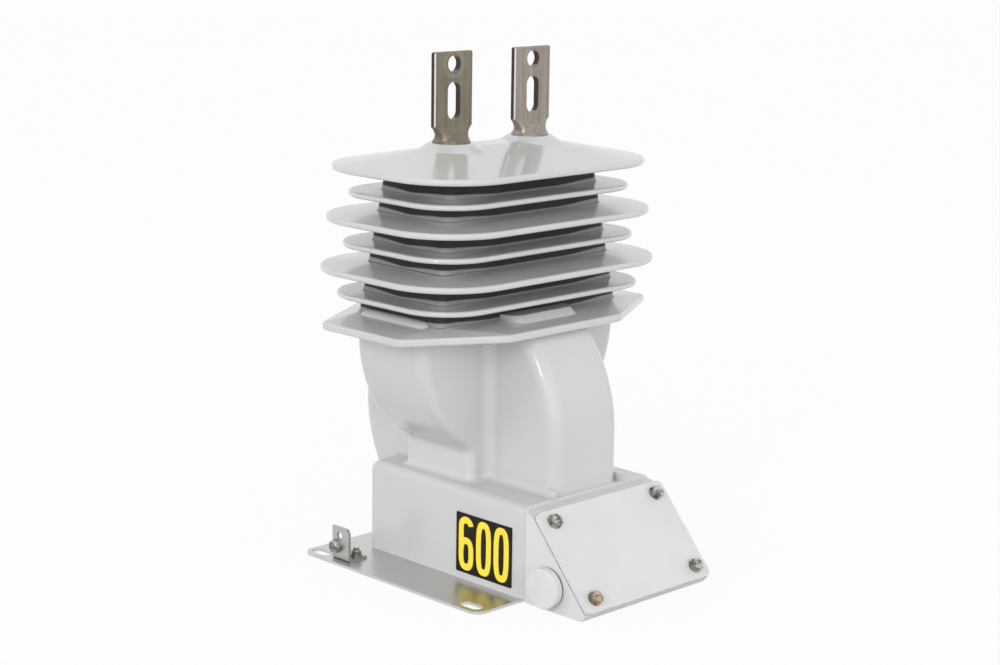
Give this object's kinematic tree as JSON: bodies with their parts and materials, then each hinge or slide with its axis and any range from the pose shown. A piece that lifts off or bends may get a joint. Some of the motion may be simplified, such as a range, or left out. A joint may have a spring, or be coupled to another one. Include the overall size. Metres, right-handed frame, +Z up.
{
  "type": "outdoor instrument transformer",
  "caption": "Outdoor current transformer of pale cast resin with stacked sheds, flat bar terminals, a secondary wiring box and a slotted base plate.",
  "frame": {"origin": "midway between the two primary terminals, on the underside of the base plate", "axes": "+X from the left terminal to the right one, +Y away from the secondary box, +Z up"},
  "size_m": [0.299, 0.3196, 0.4442],
  "materials": {
    "resin": "glossy",
    "core_steel": "matte",
    "winding_tape": "matte",
    "copper": "satin",
    "tinned_copper": "satin",
    "lead_cover": "satin",
    "brass": "satin",
    "black_moulding": "satin",
    "rubber": "matte",
    "box_paint": "satin",
    "plug_moulding": "satin",
    "zinc_steel": "satin",
    "plate_steel": "satin",
    "label_film": "satin"
  },
  "bodies": {
    "root": {"resin_body": "resin", "ring_core": "core_steel", "secondary_winding": "winding_tape", "primary_bar": "copper", "terminal_left": "tinned_copper", "terminal_right": "tinned_copper", "secondary_leads": "lead_cover", "secondary_studs": "brass", "terminal_block": "black_moulding", "stud_washers": "brass", "stud_nuts": "brass", "shorting_link": "brass", "box_housing": "box_paint", "box_screws": "zinc_steel", "box_inserts": "brass", "box_ground_screw": "zinc_steel", "box_cover": "box_paint", "cover_gasket": "rubber", "cover_washers": "zinc_steel", "cover_screws": "zinc_steel", "conduit_plug": "plug_moulding", "plug_seal": "rubber", "base_plate": "plate_steel", "plate_inserts": "brass", "plate_screws": "zinc_steel", "ground_lug": "plate_steel", "lug_stud": "zinc_steel", "lug_washer": "zinc_steel", "lug_nut": "zinc_steel", "ground_bolt": "zinc_steel", "ground_washers": "zinc_steel", "ground_nut": "zinc_steel", "rating_label": "label_film"}
  },
  "joints": []
}
